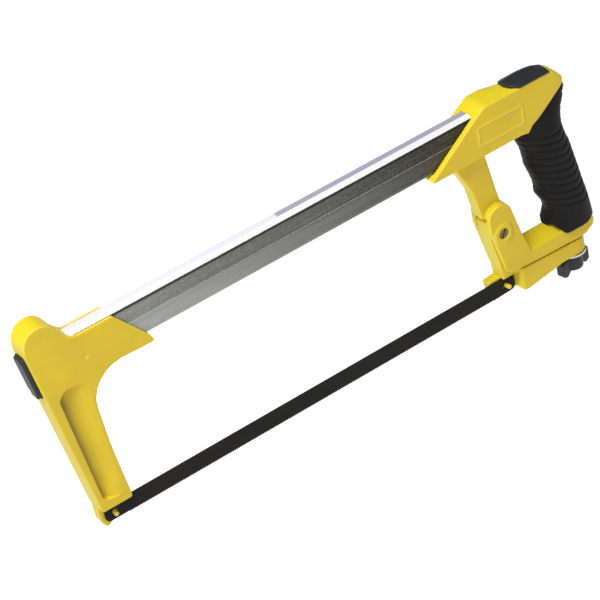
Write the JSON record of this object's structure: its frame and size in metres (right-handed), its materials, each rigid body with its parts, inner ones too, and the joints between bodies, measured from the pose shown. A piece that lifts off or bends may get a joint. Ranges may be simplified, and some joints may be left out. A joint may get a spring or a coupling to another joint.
{
  "type": "hacksaw",
  "caption": "Hacksaw for metal pipe: rectangular steel spine, cast nose and D handle, rubber grip, and a wing nut lever that tensions the blade.",
  "frame": {"origin": "middle of the hand grip, on the saw's middle plane, half way between the housing's underside and the lower member", "axes": "+X along the saw from nose to handle, +Z from the blade up to the spine, +Y to the side away from the blade"},
  "size_m": [0.4058, 0.026, 0.1711],
  "materials": {
    "yellow_paint": "glossy enamel on a die casting",
    "tube_steel": "bright drawn steel",
    "zinc_steel": "zinc plated",
    "blade_paint": "matt black paint, bright worn teeth",
    "black_rubber": "moulded, slightly shiny",
    "black_plastic": "moulded",
    "brass": "turned",
    "bronze": "oiled",
    "white_nylon": "plain"
  },
  "bodies": {
    "frame": {"spine_tube": "tube_steel", "nose_casting": "yellow_paint", "nose_pin": "yellow_paint", "front_bumper": "black_rubber", "front_blade_pin": "yellow_paint", "handle_casting": "yellow_paint", "spine_screw": "zinc_steel", "spine_nut_plate": "zinc_steel", "top_pad": "black_rubber", "grip": "black_rubber", "pivot_screw": "zinc_steel", "pivot_nut": "zinc_steel", "pivot_washers": "white_nylon", "tension_bolt": "zinc_steel"},
    "lever": {"tension_lever": "yellow_paint", "rear_blade_pin": "yellow_paint", "pivot_bush": "bronze"},
    "washer": {"tension_washer": "zinc_steel"},
    "wing": {"wing_nut": "black_plastic", "wing_nut_insert": "brass"},
    "blade": {"blade": "blade_paint"}
  },
  "joints": [
    {"name": "nut_travel", "type": "slide", "parent": "frame", "child": "washer", "axis": [0, 0, -1], "range_m": [0, 0.00476]},
    {"name": "nut_spin", "type": "hinge", "parent": "washer", "child": "wing", "pos_m": [0.007, 0, -0.0828], "axis": [0, 0, -1], "range_deg": [0, 1710]},
    {"name": "lever_release", "type": "hinge", "parent": "frame", "child": "lever", "pos_m": [-0.0488, 0, -0.0256], "axis": [0, 1, 0], "range_deg": [0, 4]},
    {"name": "blade_lift", "type": "slide", "parent": "frame", "child": "blade", "axis": [-0.1132, -0.9936, 0], "range_m": [0, 0.0122]}
  ],
  "couplings": [
    {"joint": "nut_travel", "follows": "nut_spin", "m_per_rad": 0.00015915},
    {"joint": "lever_release", "follows": "nut_spin", "ratio": 0.0023389},
    {"joint": "blade_lift", "follows": "nut_spin", "m_per_rad": 0.00040663}
  ]
}
